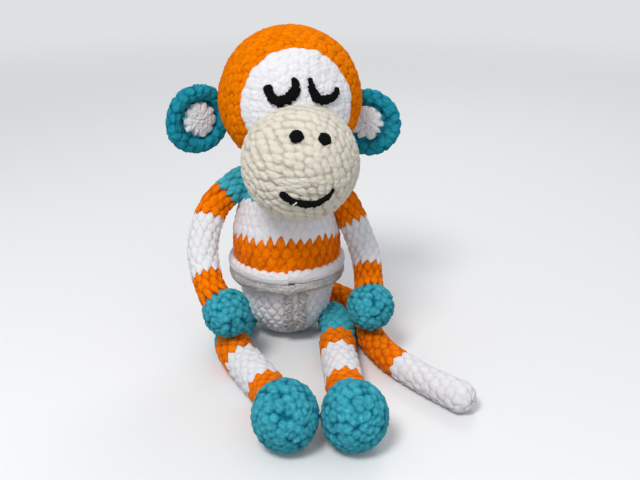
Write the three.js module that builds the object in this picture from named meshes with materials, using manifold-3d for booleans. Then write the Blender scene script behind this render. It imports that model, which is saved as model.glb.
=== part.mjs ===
// Seated crocheted monkey: stuffed covers in chunky yarn, sewn together at the neck and limbs.
// Millimetres, +Z up. The toy faces -Y and its own left is +X.
// The origin is the centre of the flat of its seat, on the surface that it sits on.

import * as THREE from 'three';
import { mergeVertices } from 'three/addons/utils/BufferGeometryUtils.js';
import Module from 'manifold-3d';

const wasm = await Module();
wasm.setup();

// Yarn and sewing
const gap = 0.3;               // space between two pieces that touch
const wall = 3.2;              // thickness of a crocheted cover
const press = 0.5;             // how far the toy's weight flattens what it rests on
const rootHole = 3.5;          // radius of the gathered hole in a cover's sewn end
const socketPlay = 0.8;        // space round a limb's root in its hollow in the body
const yarnHeight = 1.8;        // half the height of a yarn line stitched on a cover

// Body
const seatRadius = 37.3;
const waistRadius = 41.2;
const waistHeight = 57;
const bellyRadius = 44.4;
const bellyHeight = 79;
const chestRadius = 41.6;
const chestHeight = 103;
const shoulderRadius = 33.5;
const shoulderHeight = 126;
const neckRadius = 16;
const neckHeight = 141.6;
const neckHole = 9;

// Shirt hem, waistband and the two stripes of the shorts' fly
const hemHalfHeight = 4.4;
const hemHalfDepth = 2.1;
const bandHalfHeight = 4.2;
const bandHalfDepth = 3.2;
const flyTurn = 11.8;          // degrees from the front to the middle of the fly
const flySpread = 8.2;         // degrees from the middle of the fly to each stripe
const flyHalfWidth = 3.2;
const flyBottom = 13;

// Head, carried on a ring of sewing yarn
const headRadius = 55.4;
const headSide = 4.4;
const headTurn = 12;           // degrees that the face looks toward the toy's left
const headTilt = 4;            // degrees that the head leans toward the toy's left
const seamRadius = 13.5;
const seamYarn = 2.5;

// Face
const patchAngle = 43;         // half the angle that the white face patch covers
const patchSide = -3.5;
const patchUp = 5.5;
const patchWall = 2.2;
const muzzleRadius = 43.5;
const muzzleForward = 54.7;
const muzzleDrop = 36.4;
const eyeHalfWidth = 3.8;
const mouthHalfWidth = 2.8;
const nostrilRadius = 4.9;
const nostrilHeight = 2.6;
const rightNostrilSide = 18.2;
const rightNostrilUp = 39.7;
const leftNostrilSide = 15.6;
const leftNostrilUp = 37.5;

// Ears
const earRadius = 27.6;
const earWidening = 1.03;      // ear's width over its height
const earRim = 5.7;
const earWeb = 2.4;            // half the thickness inside the rim
const earCupping = 27;         // degrees that each ear's outer edge is turned forward
const earFoldForward = 10;     // degrees that an ear can fold forward
const earFoldBack = 30;        // and back
const earBack = 29;            // sewn edge behind the middle of the head
const earDrop = 23.2;
const earCentreRadius = 13.2;
const earCentreEdge = 0.6;     // height of the white centre's edge
const earCentreDome = 2.4;     // further height of its middle

// Arms
const armRadius = 11.9;
const wristRadius = 11.6;
const shoulderSide = 35.5;
const shoulderUp = 133;
const handRadius = 19.1;
const rightArmBow = 29.5;      // how far the arm bows out from the shoulder
const rightHandSide = 44.4;
const rightHandForward = 66;
const leftArmBow = 32;
const leftHandSide = 68.2;
const leftHandForward = 46;

// Legs
const thighRadius = 13;
const legRadius = 14;
const ankleRadius = 13.4;
const hipSide = 38;
const hipForward = 6;
const footRadius = 23;
const footStretch = 1.09;      // foot's height over its width
const footForward = 173.5;
const feetMeet = 27.6;         // where the two feet touch, toward the toy's left

// Tail
const tailRoot = 10.5;
const tailRadius = 11;
const tailTipRadius = 11.6;
const tailSide = 6;
const tailBack = 38;
const tailSpread = 66;         // how far the tip lies out from the bend beside the left leg
const tailForward = 129;

// Colours of the yarns
const orange = 0xe86b0a;
const white = 0xeaeaec;
const teal = 0x2f93ad;
const cream = 0xd8cfba;
const grey = 0xa3a3a1;
const black = 0x0b0b0b;
const fibre = 0xf4f2ea;

const degrees = Math.PI / 180;
const up = new THREE.Vector3(0, 0, 1);
const origin = new THREE.Vector3();

// Solids and cuts

function toSolid(geometry) {
  const bare = geometry.clone();
  bare.deleteAttribute('normal');
  bare.deleteAttribute('uv');
  const merged = mergeVertices(bare, 1e-4);
  return new wasm.Manifold(new wasm.Mesh({
    numProp: 3,
    vertProperties: new Float32Array(merged.attributes.position.array),
    triVerts: new Uint32Array(merged.index.array),
  }));
}

function toGeometry(solid) {
  const mesh = solid.getMesh();
  const geometry = new THREE.BufferGeometry();
  geometry.setAttribute('position', new THREE.BufferAttribute(new Float32Array(mesh.vertProperties), 3));
  geometry.setIndex(new THREE.BufferAttribute(new Uint32Array(mesh.triVerts), 1));
  geometry.computeVertexNormals();
  return geometry;
}

function piece(name, solid, colour) {
  const material = new THREE.MeshStandardMaterial({ color: colour, roughness: 0.95, metalness: 0 });
  const mesh = new THREE.Mesh(toGeometry(solid), material);
  mesh.name = name;
  return mesh;
}

// A profile of [radius, height] points turned about the Z axis.
function turned(profile, segments) {
  const points = profile.map(([radius, height]) => new THREE.Vector2(radius, height));
  const geometry = new THREE.LatheGeometry(points, segments);
  geometry.rotateX(Math.PI / 2);
  return toSolid(geometry);
}

// The middles of a faceted ball's faces lie nearer its centre than its corners by this factor.
const ballAcross = 24;
const ballAlong = 14;
const facetDepth = Math.cos(Math.PI / ballAcross) * Math.cos(Math.PI / (2 * ballAlong));

function ball(radius, centre = origin, across = ballAcross, along = ballAlong) {
  const geometry = new THREE.SphereGeometry(radius, across, along);
  geometry.rotateX(Math.PI / 2);
  geometry.translate(centre.x, centre.y, centre.z);
  return toSolid(geometry);
}

// A ring about the Z axis with an oval section.
function ring(radius, height, halfDepth, halfHeight, segments, sides) {
  const profile = [];
  for (let i = 0; i < sides; i++) {
    const angle = 2 * Math.PI * i / sides;
    profile.push([radius + halfDepth * Math.cos(angle), height + halfHeight * Math.sin(angle)]);
  }
  profile.push(profile[0]);
  return turned(profile, segments);
}

function peg(radius, bottom, top) {
  const geometry = new THREE.CylinderGeometry(radius, radius, top - bottom, 24);
  geometry.rotateX(Math.PI / 2);
  geometry.translate(0, 0, (bottom + top) / 2);
  return toSolid(geometry);
}

// Everything below the surface that the toy sits on.
function ground() {
  const span = 1000;
  const geometry = new THREE.BoxGeometry(span, span, span);
  geometry.translate(0, 0, -span / 2);
  return toSolid(geometry);
}

// Skins along a route: each station is [distance along the route, radius], closed at both ends

function pointOn(route, distance) {
  const length = route.getLength();
  const share = THREE.MathUtils.clamp(distance / length, 0, 1);
  const tangent = route.getTangentAt(share);
  const point = route.getPointAt(share).addScaledVector(tangent, distance - share * length);
  return { point, tangent };
}

// upright(point) is the section's height direction, stretch(distance) its height over its width.
function loft(route, stations, sides, upright = () => up, stretch = () => 1) {
  const positions = [];
  const last = stations.length - 1;
  stations.forEach(([distance, radius], index) => {
    const { point, tangent } = pointOn(route, distance);
    if (index === 0 || index === last) {
      positions.push(...point.toArray());
      return;
    }
    const across = new THREE.Vector3().crossVectors(tangent, upright(point)).normalize();
    const high = new THREE.Vector3().crossVectors(across, tangent).normalize();
    for (let i = 0; i < sides; i++) {
      const angle = 2 * Math.PI * i / sides;
      const spot = point.clone()
        .addScaledVector(across, radius * Math.cos(angle))
        .addScaledVector(high, radius * stretch(distance) * Math.sin(angle));
      positions.push(...spot.toArray());
    }
  });
  const faces = [];
  const corner = (ringIndex, i) => 1 + (ringIndex - 1) * sides + (i % sides);
  const endPole = 1 + (last - 1) * sides;
  for (let i = 0; i < sides; i++) {
    faces.push(0, corner(1, i), corner(1, i + 1));
    for (let j = 1; j < last - 1; j++) {
      faces.push(corner(j, i), corner(j + 1, i), corner(j + 1, i + 1));
      faces.push(corner(j, i), corner(j + 1, i + 1), corner(j, i + 1));
    }
    faces.push(corner(last - 1, i), endPole, corner(last - 1, i + 1));
  }
  const geometry = new THREE.BufferGeometry();
  geometry.setAttribute('position', new THREE.Float32BufferAttribute(positions, 3));
  geometry.setIndex(faces);
  return toSolid(geometry);
}

// Reading of evenly spaced values at a share of the way along them.
function between(values, share) {
  const place = share * (values.length - 1);
  const index = Math.min(Math.floor(place), values.length - 2);
  return THREE.MathUtils.lerp(values[index], values[index + 1], place - index);
}

// A limb swells along radii, from a round root to a ball of radius end at the end of its route.
function limbStations(length, radii, end, inset, steps, capSteps) {
  const root = radii[0] - inset;
  const tip = end - inset;
  const neckAngle = Math.asin(Math.min((radii[radii.length - 1] - inset) / tip, 1));
  const shaftEnd = length - tip * Math.cos(neckAngle);
  const stations = [];
  for (let i = 0; i < capSteps; i++) {
    const angle = Math.PI / 2 * i / capSteps;
    stations.push([-root * Math.cos(angle), root * Math.sin(angle)]);
  }
  for (let i = 0; i < steps; i++) {
    const share = i / steps;
    stations.push([shaftEnd * share, between(radii, share) - inset]);
  }
  for (let i = 0; i <= 2 * capSteps; i++) {
    const angle = neckAngle + (Math.PI - neckAngle) * i / (2 * capSteps);
    stations.push([length - tip * Math.cos(angle), tip * Math.sin(angle)]);
  }
  return stations;
}

// The stations of a limb's inside, which goes out through the gathered hole in its root.
function openStations(stations, hole, reach) {
  const inside = stations.filter(([, radius], index) => index > stations.length / 2 || radius > hole);
  return [[-reach, 0], [-reach, hole], [inside[0][0] - hole / 2, hole], ...inside];
}

// A limb's cover and stuffing, both cut by solids of the body that it is sewn to.
function stuffedLimb({ route, radii, end, cuts, sides, steps, stretch }) {
  const length = route.getLength();
  const skin = loft(route, limbStations(length, radii, end, 0, steps, 3), sides, () => up, stretch);
  const innerSteps = Math.ceil(steps * 0.6);
  const innerSides = Math.ceil(sides * 0.6);
  const inner = (inset) => limbStations(length, radii, end, inset, innerSteps, 2);
  const reach = radii[0] + wall;
  const hollow = loft(route, openStations(inner(wall), rootHole, reach), innerSides, () => up, stretch);
  const core = loft(route, inner(wall + gap), innerSides, () => up, stretch);
  const trimmed = cuts.reduce((solid, cut) => solid.subtract(cut), skin);
  const inward = cuts.reduce((solid, cut) => solid.subtract(cut), core);
  return { cover: trimmed.subtract(hollow), stuffing: inward };
}

// Body: a ball-shaped seat, a waist under the band, a full belly and a sloping shoulder

function bodyProfile() {
  const seatCentre = seatRadius - press;
  const bowl = [];
  const bowlSteps = 6;
  const bowlEnd = 83 * degrees;
  for (let i = 1; i <= bowlSteps; i++) {
    const angle = bowlEnd * i / bowlSteps;
    bowl.push(new THREE.Vector3(seatRadius * Math.sin(angle), seatCentre - seatRadius * Math.cos(angle), 0));
  }
  const rest = [
    [waistRadius, waistHeight],
    [bellyRadius, bellyHeight],
    [chestRadius, chestHeight],
    [shoulderRadius, shoulderHeight],
    [neckRadius, neckHeight],
  ].map(([radius, height]) => new THREE.Vector3(radius, height, 0));
  return new THREE.CatmullRomCurve3([...bowl, ...rest]);
}

const bodyCurve = bodyProfile();

function bodyPoints(count) {
  return bodyCurve.getSpacedPoints(count).map((point) => [point.x, point.y]);
}

function bodyRadius(height) {
  const points = bodyPoints(200);
  const index = points.findIndex(([, level]) => level >= height);
  const [lowRadius, low] = points[Math.max(index - 1, 0)];
  const [highRadius, high] = points[Math.max(index, 1)];
  return THREE.MathUtils.mapLinear(height, low, high, lowRadius, highRadius);
}

// The body drawn out by grow, or in by a negative grow.
function bodyForm(grow, segments = 24, count = 14) {
  const points = bodyPoints(count);
  const outline = points.map(([radius, height], index) => {
    const [beforeRadius, before] = points[Math.max(index - 1, 0)];
    const [afterRadius, after] = points[Math.min(index + 1, count)];
    const normal = new THREE.Vector2(after - before, beforeRadius - afterRadius).normalize();
    return [radius + grow * normal.x, height + grow * normal.y];
  });
  const bottom = -press - grow;
  const top = neckHeight + grow;
  outline[count][1] = top;
  return turned([[0, bottom], ...outline, [0, top]], segments);
}

const seamHeight = neckHeight + gap + seamYarn;
const headCentre = new THREE.Vector3(
  headSide,
  0,
  seamHeight + Math.sqrt((headRadius + gap + seamYarn) ** 2 - seamRadius ** 2),
);
const headPose = new THREE.Euler(0, headTilt * degrees, headTurn * degrees, 'ZYX');
const muzzleCentre = new THREE.Vector3(0, -muzzleForward, -muzzleDrop);

const rightShoulder = new THREE.Vector3(-shoulderSide, 0, shoulderUp);
const leftShoulder = new THREE.Vector3(shoulderSide, 0, shoulderUp);
const rightHip = new THREE.Vector3(-hipSide, -hipForward, thighRadius - press);
const leftHip = new THREE.Vector3(hipSide, -hipForward, thighRadius - press);
const tailHinge = new THREE.Vector3(tailSide, tailBack, tailRoot - press);

const roots = [
  [rightShoulder, armRadius],
  [leftShoulder, armRadius],
  [rightHip, thighRadius],
  [leftHip, thighRadius],
  [tailHinge, tailRoot],
];

// The space under the chin that the muzzle goes round in as the head turns.
function chinSweep(clearance) {
  const orbit = Math.hypot(muzzleForward, headSide);
  const height = headCentre.z - muzzleDrop;
  const profile = [];
  const steps = 16;
  for (let i = 0; i < steps; i++) {
    const angle = 2 * Math.PI * i / steps;
    const radius = (muzzleRadius + clearance) / Math.cos(Math.PI / steps);
    profile.push([Math.max(orbit + radius * Math.cos(angle), 0.5), height + radius * Math.sin(angle)]);
  }
  profile.push(profile[0]);
  return turned(profile, 28);
}

function rootBalls(extra, across, along) {
  return roots.map(([centre, radius]) => ball(radius + extra, centre, across, along));
}

function body() {
  const floor = ground();
  const headHollow = ball(headRadius + gap, headCentre);
  const outside = [chinSweep(gap), headHollow, ...rootBalls(socketPlay, 16, 10)]
    .reduce((solid, cut) => solid.subtract(cut), bodyForm(0))
    .subtract(floor);
  const inside = (inset) => [chinSweep(gap + inset), ...rootBalls(socketPlay + inset, 12, 7)]
    .reduce((solid, cut) => solid.subtract(cut), bodyForm(-inset, 14, 8));
  const hollow = inside(wall).add(peg(neckHole, neckHeight - wall * 3, neckHeight + wall));
  const cover = outside.subtract(hollow);
  return [
    piece('body_cover', cover, orange),
    piece('body_stuffing', inside(wall + gap), fibre),
  ];
}

// Raised rounds about the body, and the fly

// The least radius at which a ring with an oval section clears the body.
function ringRadius(height, halfDepth, halfHeight) {
  let least = 0;
  for (let angle = 90; angle <= 270; angle += 10) {
    const level = height + halfHeight * Math.sin(angle * degrees);
    least = Math.max(least, bodyRadius(level) + gap - halfDepth * Math.cos(angle * degrees));
  }
  return least;
}

function raisedRounds() {
  const hemHeight = waistHeight + bandHalfHeight + gap + hemHalfHeight;
  const hemRadius = ringRadius(hemHeight, hemHalfDepth, hemHalfHeight);
  const bandRadius = ringRadius(waistHeight, bandHalfDepth, bandHalfHeight);
  return [
    piece('shirt_hem', ring(hemRadius, hemHeight, hemHalfDepth, hemHalfHeight, 32, 6), white),
    piece('waistband', ring(bandRadius, waistHeight, bandHalfDepth, bandHalfHeight, 32, 6), grey),
  ];
}

// Stations of a yarn line that is rounded off at both ends.
function yarnStations(length, halfWidth, steps) {
  const stations = [];
  for (let i = 0; i <= steps; i++) {
    const share = (1 - Math.cos(Math.PI * i / steps)) / 2;
    const fromEnd = Math.min(share, 1 - share) * length;
    const inEnd = Math.min(fromEnd / halfWidth, 1);
    stations.push([share * length, halfWidth * Math.sqrt(1 - (1 - inEnd) ** 2)]);
  }
  return stations;
}

function flyStripe(name, turn) {
  const points = [];
  const top = waistHeight - bandHalfHeight - gap;
  const rise = gap + yarnHeight;
  for (let i = 0; i <= 6; i++) {
    const height = THREE.MathUtils.lerp(top, flyBottom, i / 6);
    const slope = (bodyRadius(height + 1) - bodyRadius(height - 1)) / 2;
    const lean = Math.atan(slope);
    const radius = bodyRadius(height) + rise * Math.cos(lean);
    const level = height - rise * Math.sin(lean);
    points.push(new THREE.Vector3(radius * Math.sin(turn), -radius * Math.cos(turn), level));
  }
  const route = new THREE.CatmullRomCurve3(points);
  const outward = new THREE.Vector3(Math.sin(turn), -Math.cos(turn), 0);
  const stations = yarnStations(route.getLength(), flyHalfWidth, 10);
  const line = loft(route, stations, 8, () => outward, () => yarnHeight / flyHalfWidth);
  return piece(name, line, grey);
}

function fly() {
  return [
    flyStripe('right_fly_stripe', (flyTurn - flySpread) * degrees),
    flyStripe('left_fly_stripe', (flyTurn + flySpread) * degrees),
  ];
}

function neckSeam() {
  const seam = ring(seamRadius, seamHeight, seamYarn, seamYarn, 20, 6).translate([headSide, 0, 0]);
  return piece('neck_seam', seam, orange);
}

// Head, in its own frame: centre at the origin, face toward -Y before the head is turned

// A place at an angle to the side and up from the front of a ball.
function onBall(centre, radius, side, rise) {
  const level = Math.cos(rise * degrees);
  return new THREE.Vector3(
    radius * level * Math.sin(side * degrees),
    -radius * level * Math.cos(side * degrees),
    radius * Math.sin(rise * degrees),
  ).add(centre);
}

function headBall() {
  const hole = peg(neckHole, -headRadius - wall, -headRadius + wall * 3);
  const inner = (inset) => ball(headRadius - inset, origin, 14, 8);
  return [
    piece('head_cover', ball(headRadius).subtract(inner(wall)).subtract(hole), orange),
    piece('head_stuffing', inner(wall + gap), fibre),
  ];
}

// The round white patch that the eyes are stitched on, cut away where the muzzle is sewn over it.
function facePatch() {
  const inner = headRadius + gap;
  const outer = inner + patchWall;
  const profile = [];
  const steps = 6;
  for (let i = 0; i <= steps; i++) {
    const angle = patchAngle * degrees * i / steps;
    profile.push([outer * Math.sin(angle), outer * Math.cos(angle)]);
  }
  for (let i = steps; i >= 0; i--) {
    const angle = patchAngle * degrees * i / steps;
    const radius = inner / Math.cos(patchAngle * degrees / steps / 2);
    profile.push([radius * Math.sin(angle), radius * Math.cos(angle)]);
  }
  profile[0][0] = 0;
  profile[profile.length - 1][0] = 0;
  const cap = turned(profile.reverse(), 28)
    .rotate([90 - patchUp, 0, 0])
    .rotate([0, 0, patchSide]);
  return piece('face_patch', cap.subtract(ball(muzzleRadius + gap, muzzleCentre)), white);
}

function muzzle() {
  const behind = ball(headRadius + gap);
  const inner = (inset) => ball(muzzleRadius - inset, muzzleCentre, 14, 8);
  const bowl = ball(muzzleRadius, muzzleCentre).subtract(inner(wall));
  return [
    piece('muzzle_cover', bowl.subtract(behind), cream),
    piece('muzzle_stuffing', inner(wall + gap).subtract(behind), fibre),
  ];
}

// A line of yarn stitched on a ball. Each place has its angles to the side and up, and the share of
// the line's full half-width that it has there.
function stitchedLine(centre, radius, places, halfWidth, steps) {
  const height = radius + gap + yarnHeight;
  const route = new THREE.CatmullRomCurve3(places.map(([side, rise]) => onBall(centre, height, side, rise)));
  const outward = (point) => point.clone().sub(centre).normalize();
  const length = route.getLength();
  const shares = places.map((place) => place[2]);
  const share = (distance) => between(shares, THREE.MathUtils.clamp(distance / length, 0, 1));
  const stations = yarnStations(length, halfWidth, steps)
    .map(([distance, width]) => [distance, width * share(distance)]);
  return loft(route, stations, 8, outward, (distance) => yarnHeight / halfWidth / share(distance));
}

// Sleeping eyes: each a sagging line of yarn, worked thicker toward its middle.
function eyes() {
  const surface = headRadius + gap + patchWall;
  const muzzleTop = ball(muzzleRadius + gap, muzzleCentre);
  const right = [
    [-28.9, 18.9, 0.65],
    [-26.4, 14.2, 0.9],
    [-23.3, 10.4, 1],
    [-18.4, 8.6, 0.9],
    [-13.5, 10, 0.95],
    [-9.4, 13.2, 1],
    [-7.5, 17.5, 0.95],
    [-7.3, 21.5, 0.75],
    [-9.7, 25.7, 0.4],
  ];
  const left = [
    [3.3, 26, 0.4],
    [4.5, 21.8, 0.55],
    [5.3, 17.7, 0.75],
    [7.5, 13.6, 0.9],
    [12.1, 10.9, 0.85],
    [17.8, 10.8, 0.8],
    [22.7, 12.5, 0.75],
    [25, 15.9, 0.6],
    [25.9, 19, 0.45],
  ];
  const eye = (name, places) => {
    const line = stitchedLine(origin, surface, places, eyeHalfWidth, 14);
    return piece(name, line.subtract(muzzleTop), black);
  };
  return [eye('right_eye', right), eye('left_eye', left)];
}

function mouth() {
  const smile = [
    [-28.5, -13.3, 0.9],
    [-23.8, -18.5, 0.95],
    [-17.7, -21.8, 0.95],
    [-8.7, -24.4, 0.95],
    [0.6, -25.1, 1],
    [7.8, -23.4, 0.9],
    [14.5, -19.5, 0.7],
    [19.3, -15, 0.55],
    [22.2, -9.1, 0.4],
  ];
  return piece('mouth', stitchedLine(muzzleCentre, muzzleRadius, smile, mouthHalfWidth, 14), black);
}

function nostril(name, side, rise) {
  const centre = onBall(muzzleCentre, muzzleRadius, side, rise);
  const pad = ball(nostrilRadius, origin, 12, 6)
    .scale([1, 1, nostrilHeight / nostrilRadius])
    .rotate([90 - rise, 0, 0])
    .rotate([0, 0, side])
    .translate(centre.toArray());
  return piece(name, pad.subtract(ball(muzzleRadius + gap, muzzleCentre)), black);
}

// Ears: round and dished, with a thick rolled rim, each sewn to the head by its inner edge

function earProfile() {
  const rimCentre = earRadius - earRim;
  const meet = Math.asin(earWeb / earRim);
  const steps = 8;
  const profile = [[0, -earWeb]];
  for (let i = 0; i <= steps; i++) {
    const angle = THREE.MathUtils.lerp(-Math.PI + meet, Math.PI - meet, i / steps);
    profile.push([rimCentre + earRim * Math.cos(angle), earRim * Math.sin(angle)]);
  }
  profile.push([0, earWeb]);
  return profile;
}

function earCentreProfile() {
  const base = earWeb + gap;
  const steps = 3;
  const profile = [[0, base]];
  for (let i = 0; i < steps; i++) {
    const angle = Math.PI / 2 * i / steps;
    profile.push([earCentreRadius * Math.cos(angle), base + earCentreEdge + earCentreDome * Math.sin(angle)]);
  }
  profile.splice(1, 0, [earCentreRadius, base]);
  profile.push([0, base + earCentreEdge + earCentreDome]);
  return profile;
}

// side is -1 for the toy's right ear and 1 for its left. The rim touches the head at its sewn edge,
// and it is cut where the head would stop it from folding forward.
function ear(name, side) {
  const inward = (earRadius - earRim) * earWidening;
  const cupping = earCupping * degrees;
  const reach = headRadius + gap + earRim * earWidening;
  const rootSide = Math.sqrt(reach ** 2 - earBack ** 2 - earDrop ** 2);
  const centre = new THREE.Vector3(
    side * (rootSide + inward * Math.cos(cupping)),
    earBack - inward * Math.sin(cupping),
    -earDrop,
  );
  const group = new THREE.Group();
  group.position.copy(centre);
  group.rotation.z = -side * cupping;
  const facing = (solid) => solid.scale([earWidening, 1, 1]).rotate([90, 0, 0]);
  const headFrom = (fold) => {
    const hinge = new THREE.Vector3(-side * inward, 0, 0);
    const turn = side * (cupping + fold * degrees);
    const middle = new THREE.Vector3(-side * rootSide, -earBack, earDrop).applyAxisAngle(up, turn);
    return ball((headRadius + gap) / facetDepth, middle.add(hinge));
  };
  const cup = [0, earFoldForward, -earFoldBack]
    .reduce((solid, fold) => solid.subtract(headFrom(fold)), facing(turned(earProfile(), 20)));
  group.add(piece(name, cup, teal));
  group.add(piece(`${name}_centre`, facing(turned(earCentreProfile(), 16)), white));
  return group;
}

function head() {
  const group = new THREE.Group();
  group.position.copy(headCentre);
  group.rotation.copy(headPose);
  group.add(...headBall(), facePatch(), ...muzzle(), ...eyes(), mouth());
  group.add(nostril('right_nostril', -rightNostrilSide, rightNostrilUp));
  group.add(nostril('left_nostril', leftNostrilSide, leftNostrilUp));
  group.add(ear('right_ear', -1), ear('left_ear', 1));
  return group;
}

// Limbs. Each is cut where the body is, apart from its round root, which sits in a hollow there

function bodyAround(centre, radius) {
  return bodyForm(gap).subtract(ball(radius + socketPlay / 2, centre, 16, 10));
}

const legAxis = legRadius - press;
const footAxis = footRadius * footStretch - press;
const rightHandUp = 2 * legRadius - press + handRadius + 2 * gap;
const leftHandUp = 2 * tailTipRadius - press + handRadius + 2 * gap;
const rightHand = new THREE.Vector3(-rightHandSide, -rightHandForward, rightHandUp);
const leftHand = new THREE.Vector3(leftHandSide, -leftHandForward, leftHandUp);

// Each bend has shares of how far the arm bows out, and of its way forward and down to the hand.
function arm(side, shoulder, bow, bends, hand) {
  const places = bends.map(([out, forward, down]) => new THREE.Vector3(
    shoulder.x + bow * out,
    THREE.MathUtils.lerp(shoulder.y, hand.y, forward),
    THREE.MathUtils.lerp(shoulder.z, hand.z, down),
  ));
  const { cover, stuffing } = stuffedLimb({
    route: new THREE.CatmullRomCurve3([shoulder, ...places, hand]),
    radii: [armRadius, armRadius, wristRadius],
    end: handRadius,
    cuts: [bodyAround(shoulder, armRadius)],
    sides: 12,
    steps: 8,
  });
  return [piece(`${side}_arm_cover`, cover, orange), piece(`${side}_arm_stuffing`, stuffing, fibre)];
}

function arms() {
  const rightArmBends = [[0.712, 0.182, 0.192], [1, 0.5, 0.501], [0.712, 0.864, 0.828]];
  const leftArmBends = [[0.538, 0.109, 0.309], [0.922, 0.391, 0.64], [1, 0.783, 0.894]];
  return [
    ...arm('right', rightShoulder, -rightArmBow, rightArmBends, rightHand),
    ...arm('left', leftShoulder, leftArmBow, leftArmBends, leftHand),
  ];
}

// Each bend has a share of the hips' distance to the side and of the feet's distance forward.
function leg(side, hip, bends, footSide) {
  const foot = new THREE.Vector3(footSide, -footForward, footAxis);
  const places = bends.map(([aside, forward]) => new THREE.Vector3(
    hipSide * aside,
    -footForward * forward,
    legAxis,
  ));
  const route = new THREE.CatmullRomCurve3([hip, ...places, foot]);
  const ankle = route.getLength() - footRadius * 1.6;
  const stretch = (distance) => {
    const share = THREE.MathUtils.smoothstep(distance, ankle, ankle + footRadius);
    return THREE.MathUtils.lerp(1, footStretch, share);
  };
  const { cover, stuffing } = stuffedLimb({
    route,
    radii: [thighRadius, legRadius, legRadius, ankleRadius],
    end: footRadius,
    cuts: [bodyAround(hip, thighRadius), ground()],
    sides: 13,
    steps: 10,
    stretch,
  });
  return [piece(`${side}_leg_cover`, cover, orange), piece(`${side}_leg_stuffing`, stuffing, fibre)];
}

function legs() {
  const apart = footRadius + gap / 2;
  const rightLegBends = [[-1.158, 0.236], [-1.026, 0.38], [-0.711, 0.525], [-0.263, 0.715]];
  const leftLegBends = [[1.118, 0.173], [1.105, 0.346], [1.145, 0.519], [1.237, 0.726]];
  return [
    ...leg('right', rightHip, rightLegBends, feetMeet - apart),
    ...leg('left', leftHip, leftLegBends, feetMeet + apart),
  ];
}

// The tail goes round the left hip and then out along the left leg. The bends have shares of the
// way out to the leg's side and back, and then of the way out and forward from there.
function tail() {
  const beside = hipSide + legRadius + tailRadius;
  const axis = tailRadius - press;
  const round = [[0.254, 1.289], [0.54, 1.237], [0.81, 0.816], [1, 0.21]]
    .map(([out, back]) => new THREE.Vector3(beside * out, tailBack * back, axis));
  const along = [[0.068, 0.14], [0.121, 0.341], [0.356, 0.605], [0.606, 0.779]]
    .map(([out, forward]) => new THREE.Vector3(beside + tailSpread * out, -tailForward * forward, axis));
  const tip = new THREE.Vector3(beside + tailSpread, -tailForward, tailTipRadius - press);
  const { cover, stuffing } = stuffedLimb({
    route: new THREE.CatmullRomCurve3([tailHinge, ...round, ...along, tip]),
    radii: [tailRoot, tailRadius, tailRadius, tailRadius],
    end: tailTipRadius,
    cuts: [bodyAround(tailHinge, tailRoot), ground()],
    sides: 12,
    steps: 16,
  });
  return [piece('tail_cover', cover, orange), piece('tail_stuffing', stuffing, fibre)];
}

const monkey = new THREE.Group();
monkey.add(...body(), ...raisedRounds(), ...fly(), neckSeam(), head());
monkey.add(...arms(), ...legs(), ...tail());

export default monkey;
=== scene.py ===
# Looks of a seated crocheted monkey: the stitches of its covers, its yarns, the floor and the light.
# Pieces are made in millimetres. Their meshes, the lights and the camera are in metres.

import math

import bpy
import numpy as np
from mathutils import Matrix, Vector
from numpy.linalg import norm


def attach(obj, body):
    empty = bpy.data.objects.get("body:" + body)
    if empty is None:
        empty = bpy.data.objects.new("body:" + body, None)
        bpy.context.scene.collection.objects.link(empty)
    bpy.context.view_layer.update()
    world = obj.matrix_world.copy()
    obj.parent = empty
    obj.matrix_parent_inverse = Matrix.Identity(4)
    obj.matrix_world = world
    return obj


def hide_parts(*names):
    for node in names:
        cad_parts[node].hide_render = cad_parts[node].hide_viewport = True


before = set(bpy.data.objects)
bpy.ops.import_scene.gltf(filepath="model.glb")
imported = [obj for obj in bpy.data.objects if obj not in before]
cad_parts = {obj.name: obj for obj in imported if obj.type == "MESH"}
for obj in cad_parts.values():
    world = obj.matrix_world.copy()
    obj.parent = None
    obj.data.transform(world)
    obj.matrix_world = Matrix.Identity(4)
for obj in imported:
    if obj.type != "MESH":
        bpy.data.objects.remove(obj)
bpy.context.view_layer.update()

MM = 0.001

# The toy as its solids have it. Points of the face and ears are in the head's own frame, from its centre.
GAP = 0.3
SEAT_RADIUS = 37.3
SEAT_PRESS = 0.5
WAIST_HEIGHT = 57.0
BAND_HALF = 4.2
NECK_RADIUS = 16
NECK_HEIGHT = 141.6
HEAD_CENTRE = np.array([4.4, 0.0, 201.0])
HEAD_RADIUS = 55.4
HEAD_TURN = 20
PATCH_ANGLE = math.radians(43)
MUZZLE_RADIUS = 43.5
MUZZLE_CENTRE = np.array([0.0, -54.7, -36.4])
EAR_RADIUS = 27.6
EAR_RIM = 5.7
EAR_WIDENING = 1.03
HAND_RADIUS = 19.1
FOOT_RADIUS = 23.0
FOOT_STRETCH = 1.09

# The middles of the rounds of the head and of the muzzle, in degrees to the left and up.
HEAD_POLE = (-3.5, 5.5)
MUZZLE_POLE = (-19, -7)

# A usual stitch's width and a usual round's height.
STITCH = 8.4
ROUND = 6.4

BACKDROP = (0.74, 0.75, 0.76, 1)


# Turning and routes

def turn_z(degrees):
    a = math.radians(degrees)
    return np.array([[math.cos(a), -math.sin(a), 0], [math.sin(a), math.cos(a), 0], [0, 0, 1]])


def turn_y(degrees):
    a = math.radians(degrees)
    return np.array([[math.cos(a), 0, math.sin(a)], [0, 1, 0], [-math.sin(a), 0, math.cos(a)]])


HEAD_POSE = turn_z(12) @ turn_y(4)


def on_head(points):
    """Points of the head's own frame, where the toy has them."""
    return points @ HEAD_POSE.T + HEAD_CENTRE


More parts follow.
